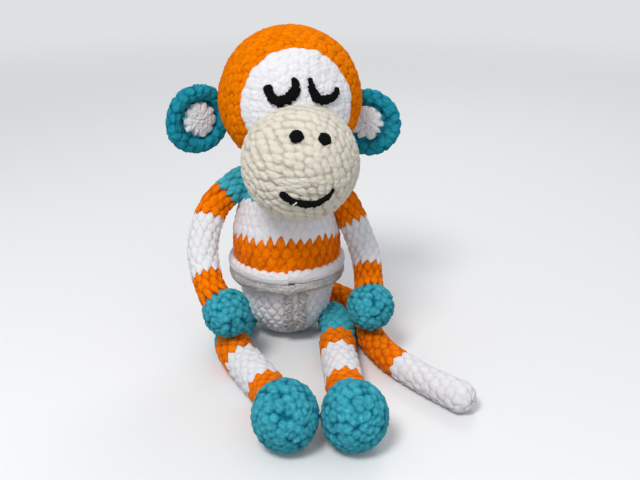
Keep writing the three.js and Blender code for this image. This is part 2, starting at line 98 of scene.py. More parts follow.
def curve_through(points, per=40):
    """Centripetal Catmull-Rom curve through points, with per steps from each to the next."""
    p = [np.array(point, float) for point in points]
    out = []
    for i in range(len(p) - 1):
        p1, p2 = p[i], p[i + 1]
        p0 = p[i - 1] if i else 2 * p[0] - p[1]
        p3 = p[i + 2] if i + 2 < len(p) else 2 * p[-1] - p[-2]
        d0, d1, d2 = (max(np.sum((b - a) ** 2) ** 0.25, 1e-4) for a, b in ((p0, p1), (p1, p2), (p2, p3)))
        t1 = ((p1 - p0) / d0 - (p2 - p0) / (d0 + d1) + (p2 - p1) / d1) * d1
        t2 = ((p2 - p1) / d1 - (p3 - p1) / (d1 + d2) + (p3 - p2) / d2) * d1
        square = 3 * (p2 - p1) - 2 * t1 - t2
        cube = 2 * (p1 - p2) + t1 + t2
        for k in range(per):
            t = k / per
            out.append(p1 + t1 * t + square * t ** 2 + cube * t ** 3)
    out.append(p[-1])
    return np.array(out)


def evenly(points, count):
    """The same polyline with evenly spaced points, and its length."""
    steps = norm(np.diff(points, axis=0), axis=1)
    along = np.concatenate([[0], np.cumsum(steps)])
    at = np.linspace(0, along[-1], count)
    return np.stack([np.interp(at, along, points[:, i]) for i in range(points.shape[1])], axis=1), along[-1]


def smooth(values, reach):
    """Values averaged over reach neighbours to each side, with the ends kept."""
    if reach < 1:
        return values
    kernel = np.hanning(2 * reach + 3)[1:-1]
    padded = np.concatenate([np.full(reach, values[0]), values, np.full(reach, values[-1])])
    return np.convolve(padded, kernel / kernel.sum(), mode="valid")


def angles_of(sides):
    """Angles all round, from 0."""
    return np.arange(sides) / sides * 2 * math.pi


def unit(vectors):
    return vectors / np.maximum(norm(vectors, axis=-1, keepdims=True), 1e-9)


def wander(points, size, seed):
    """Smooth values from about -1 to 1 that change over distances of about size."""
    waves = 7
    rng = np.random.RandomState(seed)
    total = np.zeros(points.shape[:-1])
    for _ in range(waves):
        wave = unit(rng.normal(size=3)) * 2 * math.pi / (size * rng.uniform(0.7, 1.5))
        total += np.sin(points @ wave + rng.uniform(0, 2 * math.pi))
    return total / (waves / 2)


def hashed(a, b, seed):
    """A steady random value from 0 to 1 for each pair of whole numbers."""
    n = (a.astype(np.int64) * 73856093) ^ (b.astype(np.int64) * 19349663) ^ (seed * 83492791)
    n = (n ^ (n >> 13)) * 1274126177
    return ((n ^ (n >> 16)) & 0xFFFF) / 0xFFFF


# Stitches

# Below every lobe's height, and how much the lobes' heights and their lean in radians differ.
NO_LOBE = -4.0
HEIGHT_SPREAD = 0.2
LEAN_SPREAD = 0.2

# The fangs that a change of colour shows: their width, length and tip as shares of the lobe's own, how much
# these differ, how high they stand, and how far the rest of their lobes is lifted.
FANG_WIDTH, FANG_WIDTH_SPREAD = 0.92, 0.4
FANG_REACH, FANG_REACH_SPREAD = 0.82, 0.5
FANG_TIP = 1.4
FANG_TOP, FANG_LEAD = 1.3, 0.3


class Knit:
    """Rounds of stitches, each a puffy tapered lobe, of which the highest shows at each place.

    at holds lengths from the piece's start, and girth its girth there. row is the height of a round, or a
    function that gives it at a length, and stitch is a stitch's width. A lobe's width and length are wide
    and reach as shares of these, or grain gives its half width and half length. taper widens its far end.
    jitter is how unevenly the lobes lie, and sizes is how much their sizes differ. Where fang is 1 or -1,
    the lobes on the near or the far side of a change of colour are drawn out to fangs over it. last is the
    last round, which goes on to the end.
    """

    def __init__(self, at, girth, row=ROUND, stitch=STITCH, wide=1.16, reach=1.75, grain=None, taper=0.3,
                 jitter=0.16, sizes=0.16, fang=0, seed=1, last=None):
        past_end, end_height, fewest, slip = 12, 6.0, 6, 0.08
        starts = [at[0]]
        while starts[-1] < at[-1] + past_end:
            starts.append(starts[-1] + (row(starts[-1]) if callable(row) else row))
        self.starts = np.array(starts)
        self.heights = np.append(np.diff(self.starts), end_height)
        middles = self.starts + self.heights / 2
        self.counts = np.maximum(fewest, np.round(np.interp(middles, at, girth) / stitch))
        rng = np.random.RandomState(seed)
        rounds = len(self.starts)
        self.phase = 0.5 * np.arange(rounds) + np.cumsum(rng.uniform(-slip, slip, rounds))
        self.last = rounds - 1 if last is None else last
        self.wide, self.reach, self.grain, self.taper = wide, reach, grain, taper
        self.jitter, self.sizes, self.fang, self.seed = jitter, sizes, fang, seed

    def rounds_at(self, at):
        return np.interp(at, self.starts, np.arange(len(self.starts)))

    def with_fangs(self, value, edge, across, t, half_wide, chance):
        """The lobes' heights, with those at an edge of two colours drawn out to a point."""
        ahead = np.clip(t * self.fang, 0, 1.5)
        narrowing = (1 - np.clip(ahead, 0, FANG_TIP - 0.05) / FANG_TIP) ** 1.2
        sharp = half_wide * (FANG_WIDTH + FANG_WIDTH_SPREAD * chance[4]) * narrowing
        reach = FANG_REACH * (1 + FANG_REACH_SPREAD * chance[3])
        point = FANG_TOP - (across / np.maximum(sharp, 0.3)) ** 2 - (reach * ahead) ** 2
        return np.where(edge & (ahead > 0), point, value + np.where(edge, FANG_LEAD, 0.0))

    def highest(self, around, row, girth, lean, colour=None, colours=1):
        """The highest lobe's height, its lead over the next, the place along it and its random value.

        around runs from 0 to 1 round the piece, row counts rounds, and lean turns the lobes. colour is a
        function that gives each round's colour as a number below colours. The last result is each colour's
        greatest height.
        """
        low = np.floor(row).astype(int)
        best, second = np.full(row.shape, NO_LOBE), np.full(row.shape, NO_LOBE)
        vary, tip = np.zeros(row.shape), np.zeros(row.shape)
        of_colour = [np.full(row.shape, NO_LOBE) for _ in range(colours)]
        for up in (-1, 0, 1):
            k = np.clip(low + up, 0, self.last)
            count = self.counts[k]
            place = around * count + self.phase[k]
            pitch, high = girth / count, self.heights[k]
            for over in (-1, 0, 1):
                stitch = np.floor(place) + over
                chance = [hashed(k, np.mod(stitch, count), self.seed + 17 * i) - 0.5 for i in range(6)]
                dx = (place - stitch - 0.5 - self.jitter * chance[0]) * pitch
                dy = (row - k - 0.5 - self.jitter * chance[1]) * high
                angle = lean + (LEAN_SPREAD + self.jitter) * chance[2]
                across = dx * np.cos(angle) + dy * np.sin(angle)
                along = dy * np.cos(angle) - dx * np.sin(angle)
                half_wide, half_long = self.grain or (0.5 * pitch * self.wide, 0.5 * high * self.reach)
                t = along / (half_long * (1 + self.sizes * chance[3]))
                width = half_wide * (1 + self.sizes * chance[4]) * (1 + self.taper * np.clip(t, -1, 1))
                value = 1 - (across / width) ** 2 - t ** 2 + HEIGHT_SPREAD * chance[5]
                if self.fang and colour is not None:
                    edge = colour(k) != colour(np.clip(k + self.fang, 0, self.last))
                    value = self.with_fangs(value, edge, across, t, half_wide, chance)
                lead = value > best
                second = np.where(lead, best, np.maximum(second, value))
                best = np.where(lead, value, best)
                vary = np.where(lead, chance[5] + 0.5, vary)
                tip = np.where(lead, t, tip)
                if colour is not None:
                    shade = colour(k)
                    for c in range(colours):
                        of_colour[c] = np.where(shade == c, np.maximum(of_colour[c], value), of_colour[c])
        return best, best - second, np.clip(tip, -1, 1), vary, of_colour


def scattered(grid, centre, radius, size, seed):
    """Round lumps about size apart on a ball: the highest one's height, its lead and its random value."""
    area = 0.87 * size ** 2
    golden_turn = math.pi * (1 + math.sqrt(5))
    rng = np.random.RandomState(seed)
    count = int(4 * math.pi * radius ** 2 / area)
    k = np.arange(count) + 0.5
    polar, around = np.arccos(1 - 2 * k / count), golden_turn * k
    out = np.stack([np.sin(polar) * np.cos(around), np.cos(polar), np.sin(polar) * np.sin(around)], axis=-1)
    seeds = radius * out + rng.normal(scale=0.2 * size, size=out.shape)
    reach, chance = size * rng.uniform(0.56, 0.8, count), rng.uniform(size=count)
    points = unit(grid - centre) * radius
    best = np.full(grid.shape[:-1], NO_LOBE)
    second, vary = best.copy(), np.zeros(best.shape)
    for i in range(count):
        value = 1 - np.sum((points - seeds[i]) ** 2, axis=-1) / reach[i] ** 2
        lead = value > best
        second = np.where(lead, best, np.maximum(second, value))
        best = np.where(lead, value, best)
        vary = np.where(lead, chance[i], vary)
    return best, best - second, vary


# Meshes

def make_object(name, verts, quads, tris=(), attributes=None, material=None):
    """A smooth object of these corners and faces, with one value of each attribute at each corner."""
    mesh = bpy.data.meshes.new(name)
    loops = np.concatenate([np.ravel(quads), np.ravel(tris)]).astype(np.int32)
    starts = np.concatenate([
        np.arange(len(quads)) * 4,
        len(quads) * 4 + np.arange(len(tris)) * 3,
    ]).astype(np.int32)
    mesh.vertices.add(len(verts))
    mesh.vertices.foreach_set("co", (verts * MM).astype(np.float32).ravel())
    mesh.loops.add(len(loops))
    mesh.loops.foreach_set("vertex_index", loops)
    mesh.polygons.add(len(starts))
    mesh.polygons.foreach_set("loop_start", starts)
    mesh.polygons.foreach_set("use_smooth", np.ones(len(starts), bool))
    if material is not None:
        mesh.materials.append(material)
    for key, values in (attributes or {}).items():
        layer = mesh.attributes.new(key, "FLOAT", "POINT")
        layer.data.foreach_set("value", values.astype(np.float32))
    mesh.update()
    mesh.validate()
    obj = bpy.data.objects.new(name, mesh)
    bpy.context.scene.collection.objects.link(obj)
    return obj


def tube_object(name, grid, attributes, material, keep=None):
    """A mesh of rings of points, closed at both ends. keep picks the faces between rings that stay."""
    rings, sides, _ = grid.shape
    index = np.arange(rings * sides).reshape(rings, sides)
    right = np.roll(index, -1, axis=1)
    quads = np.stack([index[:-1], right[:-1], right[1:], index[1:]], axis=-1)
    if keep is not None:
        quads = quads[keep]
    start, end = rings * sides, rings * sides + 1
    verts = np.vstack([grid.reshape(-1, 3), grid[0].mean(axis=0), grid[-1].mean(axis=0)])
    first = np.stack([right[0], index[0], np.full(sides, start)], axis=-1)
    last = np.stack([index[-1], right[-1], np.full(sides, end)], axis=-1)
    attributes = {k: np.concatenate([v.ravel(), [v[0].mean(), v[-1].mean()]]) for k, v in attributes.items()}
    return make_object(name, verts, quads.reshape(-1, 4), np.vstack([first, last]), attributes, material)


def normals_of(grid, outward):
    """Normals of rings of points, turned to agree with outward."""
    across = np.roll(grid, -1, axis=1) - np.roll(grid, 1, axis=1)
    along = np.gradient(grid, axis=0)
    normal = unit(np.cross(across, along))
    facing = np.sum(normal * outward)
    return normal if facing > 0 else -normal


# How far rounds, stitches and the whole surface wander, and over about what distance.
ROUND_SWAY, ROUND_SWAY_SIZE = 0.14, 30
STITCH_SWAY, STITCH_SWAY_SIZE = 1.1, 24
SWELL, SWELL_SIZE = 0.4, 36

# A lobe is at its full height where it leads the next by FULL_LEAD. White rounds lack CALM of the depth.
FULL_LEAD = 1.9
CALM = 0.1

# Loose lumps take over from the stitches over LUMP_BLEND, and bear lumps of half their size. SMALL_LUMP_SHADE
# is the painted shade between the small lumps.
LUMP_BLEND = 4
SMALL_LUMP_HEIGHT, SMALL_LUMP_LEVEL, SMALL_LUMP_SHADE = 1.0, 0.8, 0.45


def crochet(name, grid, outward, length, material, colour=None, tilt=None, depth=2.4, rise=0.5, fluff=0.2,
            puff=0.8, scale=0.0, lumps=None, floor=None, keep=None, lean=0.0, seed=1, drop=0.4, **kind):
    """A crocheted cover on rings of points that lie evenly along its length.

    colour gives each round's yarn: 0 for the material's own, 1 for white and 2 for teal. tilt shifts the
    rounds. The stitches stand rise above the grid and reach depth below that, and drop deeper where there is
    none. fluff is the height of their unevenness. puff is the share of each stitch's own dome in its height,
    and scale lifts its far end over the next. lean turns the stitches, and kind goes to Knit. keep says
    where there is a face, from its middle, and no point comes below floor. lumps is (the centre of a ball
    that has loose lumps, its radius, the lumps' size, the length where they start).
    """
    rings, sides, _ = grid.shape
    around = np.tile(np.arange(sides) / sides, (rings, 1))
    along = np.tile(np.linspace(0, length, rings)[:, None], (1, sides))
    girths = norm(np.roll(grid, -1, axis=1) - grid, axis=2).sum(axis=1)
    knit = Knit(along[:, 0], girths, seed=seed, **kind)
    row = knit.rounds_at(along) + ROUND_SWAY * wander(grid, ROUND_SWAY_SIZE, seed + 5)
    if tilt is not None:
        row = row + tilt(around, along)
    sway = STITCH_SWAY * wander(grid, STITCH_SWAY_SIZE, seed + 9) / np.maximum(girths, 20)[:, None]
    girth = np.maximum(girths, 1)[:, None] * np.ones((1, sides))
    colours = 3 if colour else 1
    best, lead, tip, vary, of_colour = knit.highest(around + sway, row, girth, lean, colour, colours)
    if lumps is not None:
        centre, radius, size, start = lumps
        share = np.clip((along - start) / LUMP_BLEND, 0, 1)
        loose_best, loose_lead, loose_vary = scattered(grid, centre, radius, size, seed + 11)
        best, lead = best + (loose_best - best) * share, lead + (loose_lead - lead) * share
        tip, vary = tip * (1 - share), vary + (loose_vary - vary) * share
    swell = np.clip(lead / FULL_LEAD, 0, 1)
    dome = (1 - puff) * (1 - (1 - swell) ** 2) + puff * np.sqrt(np.clip(best, 0, 1))
    if colour:
        white = of_colour[1] - np.maximum(of_colour[0], of_colour[2])
        depth = depth * (1 - CALM * np.clip(0.5 + white, 0, 1))
    height = rise + depth * (dome - 1) + scale * tip + SWELL * wander(grid, SWELL_SIZE, seed + 3)
    if lumps is not None:
        small = np.sqrt(np.clip(scattered(grid, centre, radius, 0.5 * size, seed + 12)[0], 0, 1))
        height = height + SMALL_LUMP_HEIGHT * share * (small - SMALL_LUMP_LEVEL)
        # Painted shade in the creases between the small lumps.
        dome = dome * (1 - SMALL_LUMP_SHADE * share * (1 - small))
    height = height + fluff * (wander(grid, 3.2, seed + 4) + 0.6 * wander(grid, 1.9, seed + 6))
    height = height - drop * np.clip(-best, 0, 1)
    points = grid + normals_of(grid, outward) * height[..., None]
    if floor is not None:
        points[..., 2] = np.maximum(points[..., 2], floor)
    # The lobes' dome goes to the yarn, which paints shade in the creases where it is low.
    attributes = {"pile_and_crease_shade": dome, "vary": vary}
    if colour:
        attributes["white"] = white
        attributes["teal"] = of_colour[2] - np.maximum(of_colour[0], of_colour[1])
    mask = None
    if keep is not None:
        right = np.roll(grid, -1, axis=1)
        mask = keep((grid[:-1] + right[:-1] + right[1:] + grid[1:]) / 4)
    return tube_object(name, points, attributes, material, mask)


def ball_grid(centre, radius, pole, spacing=0.85, place=lambda points: points, last=math.pi):
    """Rings about a ball's pole, their outward directions, and the length from the pole to the last ring.

    The rings go as far round as the angle last. place takes points to where the toy has them.
    """
    start = 0.004
    end = last - start if last == math.pi else last
    pole = unit(np.array(pole, float))
    side = unit(np.cross(pole, [0.31, 0.95, 0.1]))
    other = np.cross(pole, side)
    sides = int(2 * math.pi * radius * math.sin(min(last, math.pi / 2)) / spacing)
    rings = int(radius * last / spacing)
    polar = np.linspace(start, end, rings)[:, None]
    around = angles_of(sides)[None, :]
    across = np.cos(around)[..., None] * side + np.sin(around)[..., None] * other
    outward = np.cos(polar)[..., None] * pole + np.sin(polar)[..., None] * across
    grid = place(np.array(centre) + radius * outward)
    zero = place(np.array(centre, float))
    return grid, grid - zero, radius * last


# Yarns

def srgb(*values):
    """A colour for a shader, from its red, green and blue out of 255."""
    c = [value / 255 for value in values]
    return (*(v / 12.92 if v <= 10 / 255 else ((v + 0.055) / 1.055) ** 2.4 for v in c), 1)


def feed(tree, node, inputs):
    """Gives each of these inputs of a node a value or another node's output."""
    for socket, value in inputs.items():
        if isinstance(value, bpy.types.NodeSocket):
            tree.links.new(value, node.inputs[socket])
        else:
            node.inputs[socket].default_value = value


def add_node(tree, kind, output, inputs, **settings):
    """An output of a new node with these inputs."""
    node = tree.nodes.new(kind)
    for key, value in settings.items():
        setattr(node, key, value)
    feed(tree, node, inputs)
    return node.outputs[output]


# Each yarn's colour on its pile, and its colour deep in its creases, which is painted shade.
SHADES = {
    "orange": (srgb(250, 126, 0), srgb(172, 40, 0)),
    "head_orange": (srgb(241, 127, 0), srgb(182, 66, 0)),
    "white": (srgb(233, 232, 235), srgb(212, 212, 220)),
    # The ears' white, tinted blue against the orange light that the head throws on it: painted cool light.
    "bounce_cancelling_white": (srgb(236, 243, 249), srgb(216, 224, 232)),
    "teal": (srgb(70, 177, 193), srgb(9, 102, 129)),
    "deep_teal": (srgb(36, 148, 170), srgb(8, 96, 122)),
    "cream": (srgb(223, 217, 203), srgb(197, 187, 168)),
    "grey": (srgb(192, 191, 189), srgb(141, 140, 139)),
    "black": (srgb(17, 17, 18), srgb(8, 8, 9)),
    "fibre": (srgb(242, 240, 232), srgb(220, 216, 206)),
}


def yarn(name, shades, fuzz=1.0, sheen=0.18, tint=None, mottle=1.0, specular=0.06):
    """Chenille yarn: a soft, slightly uneven colour with painted shade in its creases, and a velvety pile.

    The first shade is the piece's own. Teal and white rounds show where the mesh's values of these names are
    above 0. mottle is the unevenness of the colour, and fuzz the roughness of the pile.
    """
    material = bpy.data.materials.new(name)
    material.use_nodes = True
    tree = material.node_tree
    shader = tree.nodes["Principled BSDF"]
    own, own_crease_shade_colour = SHADES[shades[0]]
    place = add_node(tree, "ShaderNodeTexCoord", "Object", {})

    def noise(scale, detail):
        inputs = {"Vector": place, "Scale": scale, "Detail": detail}
        return add_node(tree, "ShaderNodeTexNoise", "Fac", inputs)

    def mapped(value, low, high, from_low=0.0, from_high=1.0):
        limits = {"From Min": from_low, "From Max": from_high, "To Min": low, "To Max": high}
        return add_node(tree, "ShaderNodeMapRange", "Result", {"Value": value, **limits})

    def product(a, b):
        return add_node(tree, "ShaderNodeMath", 0, {0: a, 1: b}, operation="MULTIPLY")

    def value_of(attribute):
        return add_node(tree, "ShaderNodeAttribute", "Fac", {}, attribute_name=attribute)

    def mixed(factor, a, b):
        return add_node(tree, "ShaderNodeMix", "Result", {"Factor": factor, "A": a, "B": b}, data_type="RGBA")

    # Painted shade: where the mesh's dome value is low, in the creases, the colour goes to the yarn's crease
    # colour.
    crease_shade_ends_at = 0.9 if shades[0] in ("orange", "deep_teal") else 0.75
    depth = mapped(value_of("pile_and_crease_shade"), 0, 1, 0.05, crease_shade_ends_at)

    def in_rounds(shade, colour):
        """The colour, with another shade and that shade's painted crease shade where the mesh's value of that
        shade is above 0.
        """
        edge = 0.02
        top, crease_shade_colour = SHADES[shade]
        return mixed(mapped(value_of(shade), 0, 1, -edge, edge), colour, mixed(depth, crease_shade_colour, top))

    colour = mixed(depth, own_crease_shade_colour, own)
    if "teal" in shades[1:]:
        colour = in_rounds("teal", colour)
    patches = mapped(noise(120, 2), 1 - 0.1 * mottle, 1 + 0.08 * mottle, 0.25, 0.75)
    stitches = mapped(value_of("vary"), 1 - 0.05 * mottle, 1 + 0.04 * mottle)
    fibres = mapped(noise(430, 4), 1 - 0.17 * mottle, 1 + 0.13 * mottle, 0.25, 0.75)
    value = product(product(patches, stitches), fibres)
    colour = add_node(tree, "ShaderNodeHueSaturation", "Color", {"Color": colour, "Value": value})
    if "white" in shades[1:]:
        colour = in_rounds("white", colour)
    pile_and_crease_shade = {"Strength": 0.8 * fuzz, "Distance": 0.0013, "Height": noise(480, 5)}
    feed(tree, shader, {
        "Base Color": colour,
        "Roughness": 0.95,
        "Specular IOR Level": specular,
        "Sheen Weight": sheen,
        "Sheen Roughness": 0.5,
        "Sheen Tint": tint or [min(1, 0.04 + c) for c in own],
        "Normal": add_node(tree, "ShaderNodeBump", "Normal", pile_and_crease_shade),
    })
    return material


STRIPED = yarn("striped_chenille", ["orange", "teal", "white"], sheen=0.05, tint=(0.7, 0.75, 0.78, 1),
               mottle=1.1, fuzz=0.7, specular=0.02)
ORANGE = yarn("orange_chenille", ["head_orange"], sheen=0.1, fuzz=0.8, mottle=1.15, specular=0.02)
WHITE = yarn("white_chenille", ["white"], mottle=0.25, fuzz=0.5)
# The ears' centres' white yarn, painted cooler against the orange light that the head throws on them.
BOUNCE_CANCELLING_WHITE = yarn("white_chenille_bounce_cancelling", ["bounce_cancelling_white"], mottle=0.3, fuzz=0.5)
TEAL = yarn("teal_chenille", ["deep_teal"], sheen=0.12, specular=0.03)
CREAM = yarn("cream_chenille", ["cream"], mottle=0.35, fuzz=0.6)
GREY = yarn("grey_chenille", ["grey"], fuzz=1.5, mottle=1.7)
BLACK = yarn("black_chenille", ["black"], sheen=0.04)
FIBRE = yarn("polyester_fibre", ["fibre"], fuzz=2.0)


# Body

TOP_POINTS = 10


def body_curve():
    """The body's outline from the middle of the seat to that of the top, as pairs of radius and height."""
    def on_seat(a):
        return [SEAT_RADIUS * math.sin(a), SEAT_RADIUS - SEAT_PRESS - SEAT_RADIUS * math.cos(a)]

    bowl_steps, crown = 6.5, 1.2
    bottom = [on_seat(a) for a in np.linspace(0.01, math.pi / 2 / bowl_steps, 12)[:-1]]
    bowl = [on_seat(math.pi / 2 * i / bowl_steps) for i in range(1, 7)]
    rest = [[41.2, WAIST_HEIGHT], [44.4, 79], [41.6, 103], [33.5, 126], [NECK_RADIUS, NECK_HEIGHT]]
    top = [[r, NECK_HEIGHT + crown * (1 - (r / NECK_RADIUS) ** 2)] for r in np.linspace(15, 0.3, TOP_POINTS)]
    return np.array(bottom + list(curve_through(bowl + rest)) + top)


BODY_CURVE = body_curve()


def body_radius(height):
    rising = BODY_CURVE[:-TOP_POINTS]
    return np.interp(height, rising[:, 1], rising[:, 0])


def make_body():
    rings, sides = 240, 330
    profile, length = evenly(BODY_CURVE, rings)
    angle = angles_of(sides)
    direction = np.stack([np.sin(angle), -np.cos(angle), np.zeros(sides)], axis=-1)
    grid = profile[:, None, :1] * direction[None] + profile[:, None, 1:] * np.array([0, 0, 1.0])
    # The muzzle presses in the shirt's top wherever it goes as the head turns.
    muzzle_pile, belly_middle = 2.0, np.array([0, 0, 65.0])
    muzzle = on_head(MUZZLE_CENTRE) - HEAD_CENTRE
    for turn in np.linspace(-HEAD_TURN, HEAD_TURN, 17):
        away = grid - HEAD_CENTRE - turn_z(turn) @ muzzle
        pressed = (MUZZLE_RADIUS + muzzle_pile) / norm(away, axis=-1, keepdims=True)
        grid = grid + away * np.maximum(pressed - 1, 0)
    along = np.linspace(0, length, rings)
    height = profile[:, 1]

    def arc(z):
        """The length along the outline at a height that is below its top."""
        return np.interp(z, height[:-20], along[:-20])

    # The shirt's rounds sit higher in front than behind.
    most, begins, full, ends_over = 1.13, arc(42), arc(80), 40

    def tilt(around, at):
        share = np.clip((at - begins) / (full - begins), 0, 1) * np.clip((length - at) / ends_over, 0, 1)
        return -most * share * np.cos(2 * math.pi * around)

    waist, stripe_top, stripe_rounds, usual_round = arc(WAIST_HEIGHT), arc(88.2), 4, 6.1
    shorts = round(waist / usual_round)
    shorts_round = waist / shorts
    shirt_round = (stripe_top - waist) / stripe_rounds

    def row(at):
        return shorts_round if at < waist - 1 else shirt_round

    def colour(k):
        shirt = k - shorts
        upper = np.where(shirt < 2 * stripe_rounds, 1, 2)
        return np.where(k < shorts, 1, np.where(shirt < stripe_rounds, 0, upper))

    below = np.clip((waist - along) / 6, 0, 1)[:, None]
    cover = crochet("body_crochet", grid, grid - belly_middle, length, STRIPED, colour, tilt, floor=0.0,
                    seed=3, row=row, stitch=8.1, taper=0.75, reach=2.0, wide=1.12, lean=math.radians(-10),
                    scale=0.2, fang=-1, depth=2.6 + 0.7 * below)
    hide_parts("body_cover")
    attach(cover, "torso")


def ring_object(name, radius, height, half_depth, half_height, material, seed, strands=0, teeth=0, seam=0.0,
                step=0.0, pinch=0.0, lift=0.0):
    """A rolled round of yarn about the body, whose two ends meet at the angle seam.

    One end lies step higher than the other, and both are thinner by the share pinch. strands is how many
    lines of yarn lie along it, teeth is how many stitches it hangs from, and lift raises its front.
    """
    rings, sides, step_reach, pinch_reach = 560, 56, 0.5, 0.035
    a, s = np.meshgrid(angles_of(rings), angles_of(sides), indexing="ij")
    base = np.stack([np.sin(a), -np.cos(a), np.zeros_like(a)], axis=-1)
    centre = base * radius + np.array([0, 0, height])
    from_seam = np.mod(a - seam, 2 * math.pi)
    to_seam = 2 * math.pi - from_seam
    ends = step * (np.exp(-from_seam / step_reach) - np.exp(-to_seam / step_reach))
    pinched = pinch * np.exp(-(np.minimum(from_seam, to_seam) / pinch_reach) ** 2)
    upper = np.clip(np.sin(s), 0, 1) ** 2
    bays = np.abs(np.sin(0.5 * (teeth * a - 0.7 * np.sin(s) + 0.8 * wander(centre, 30, seed))))
    hang = (0.34 * upper + 0.05) * (bays ** 0.7 - 0.75) if teeth else 0
    groove = 0.05 * np.cos(strands * s + 1.2 * wander(centre, 26, seed + 2)) if strands else 0
    streaked = np.stack([a * radius * 0.4, 7 * np.sin(s), 7 * np.cos(s)], axis=-1)
    surface = centre + base * 5 * np.cos(s)[..., None] + np.array([0, 0, 5.0]) * np.sin(s)[..., None]
    fuzz = 0.05 * wander(streaked, 3.5, seed + 4) + 0.035 * wander(surface, 2.4, seed + 5)
    size = (1 + hang + groove + fuzz) * (1 - pinched)
    grid = centre + base * (half_depth * size * np.cos(s))[..., None]
    grid[..., 2] += half_height * size * np.sin(s) + lift * np.cos(a) + ends
    index = np.arange(rings * sides).reshape(rings, sides)
    up, over = np.roll(index, -1, axis=0), np.roll(index, -1, axis=1)
    both = np.roll(up, -1, axis=1)
    quads = np.stack([index, up, both, over], axis=-1).reshape(-1, 4)
    # Painted shade in the grooves between the strands and at the pinched seam.
    pile_and_crease_shade = np.clip(0.75 + 3 * (groove + fuzz) - 1.5 * pinched, 0, 1).ravel()
    vary = np.clip(0.5 + 4 * fuzz, 0, 1).ravel()
    return make_object(name, grid.reshape(-1, 3), quads, (), {"pile_and_crease_shade": pile_and_crease_shade, "vary": vary}, material)


def make_rounds():
    hem_half, hem_depth, band_depth = 4.4, 2.4, 3.3
    hem_middle = WAIST_HEIGHT + BAND_HALF + GAP + hem_half
    hem_radius = body_radius(hem_middle) + GAP + hem_depth
    band_radius = body_radius(WAIST_HEIGHT) + GAP + band_depth
    hem = ring_object("hem_roll", hem_radius, hem_middle + 0.1, 3.1, 5.2, WHITE, 21, teeth=39, seam=0.06,
                      step=0.9, pinch=0.13, lift=0.9)
    band = ring_object("waistband_roll", band_radius, WAIST_HEIGHT, band_depth, 4.6, GREY, 22, strands=6,
                       seam=0.16, step=1.0, pinch=0.13, lift=0.2)
    for piece, node, slot in ((hem, "shirt_hem", "white_yarn"), (band, "waistband", "grey_yarn")):
        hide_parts(node)
        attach(piece, "torso")


# Yarn laid on a surface

def laid_yarn(name, route, outward_of, width, height, material, seed, lump=5.0, ragged=0.12, slant=0.0,
              squeeze=0.6):
    """A flat line of fuzzy yarn along a route, rounded at its ends, with lumps where it is stitched down.

    width and height are halves, and width may be a list that runs along the route. lump is the lumps'
    length, squeeze their depth and slant how far they lean. ragged is the unevenness of the edge.
    """
    spacing, sides = 0.35, 40
    count = max(40, int(evenly(route, 3)[1] / spacing))
    points, length = evenly(route, count)
    at = np.linspace(0, length, count)
    tangent = unit(np.gradient(points, axis=0))
    across = unit(np.cross(tangent, outward_of(points)))
    outward = np.cross(across, tangent)
    given = np.atleast_1d(np.array(width, float))
    width = np.interp(np.linspace(0, 1, count), np.linspace(0, 1, len(given)), given)
    from_end = np.minimum(at, length - at)
    end = np.sqrt(1 - (1 - np.clip(from_end / (width * 0.9), 0, 1)) ** 2)
    around = angles_of(sides)
    lumps = at[:, None] / lump + slant * np.cos(around)[None, :]
    share = lumps - np.floor(lumps)
    dome = np.sqrt(np.clip(1 - (2 * np.abs(share - 0.5)) ** 4, 0, 1))
    grid = (points[:, None] + across[:, None] * (np.cos(around)[None] * (width * end)[:, None])[..., None]
            + outward[:, None] * (np.sin(around)[None] * height * end[:, None])[..., None])
    noise = wander(grid, 2.6, seed) * ragged + wander(grid, 6.5, seed + 1) * ragged * 1.3
    noise = noise + ragged * np.clip(wander(grid, 1.5, seed + 2), -1, 1)
    scale = 1 + (noise - squeeze * 0.25 * (1 - dome)) * np.clip(end + 0.3, 0, 1)[:, None]
    grid = points[:, None] + (grid - points[:, None]) * scale[..., None]
    # The lumps' domes paint shade between the lumps; vary follows the yarn's thickness, which also paints a
    # little shade there.
    return tube_object(name, grid, {"pile_and_crease_shade": dome, "vary": scale * 0.5}, material)


def on_ball(centre, radius, angles):
    """Points on a ball of the head at pairs of angles in degrees: to its left, and up."""
    side, rise = np.radians(np.array(angles, float)).T
    return np.array(centre) + radius * np.stack(
        [np.cos(rise) * np.sin(side), -np.cos(rise) * np.cos(side), np.sin(rise)], axis=-1)


def ball_yarn(name, centre, radius, angles, width, height, node, seed, material=BLACK,
              slot="black_yarn", **more):
    """A line of yarn on a ball of the head, along a route of on_ball's pairs of angles."""
    route = on_head(curve_through(on_ball(centre, radius, angles), 24))
    middle = on_head(np.array(centre, float))
    line = laid_yarn(name, route, lambda p: unit(p - middle), width, height, material, seed, **more)
    if node:
        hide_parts(node)
    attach(line, "head")


def make_fly():
    stand, seat_middle = 1.5, np.array([0, 0, SEAT_RADIUS - SEAT_PRESS])
    heights = np.linspace(WAIST_HEIGHT - BAND_HALF - GAP, 13, 16)
    radius = body_radius(heights) + stand
    sink = 1.0 * np.clip((40 - heights) / 40, 0, 1)
    for name, node, turn in (("fly_chain_right", "right_fly_stripe", 3.6),
                             ("fly_chain_left", "left_fly_stripe", 20.0)):
        a = math.radians(turn)
        route = np.stack([radius * math.sin(a), -radius * math.cos(a), heights - sink], axis=-1)
        chain = laid_yarn(name, route, lambda p: unit(p - seat_middle), 3.3, 1.6, GREY, 31 + int(turn),
                          lump=6.2, ragged=0.24, slant=0.3, squeeze=1.0)
        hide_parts(node)
        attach(chain, "torso")


# Head

def pole_of(side, rise):
    """The direction that lies side degrees to the left of the front, and rise degrees up."""
    side, rise = math.radians(side), math.radians(rise)
    return math.cos(rise) * math.sin(side), -math.cos(rise) * math.cos(side), math.sin(rise)


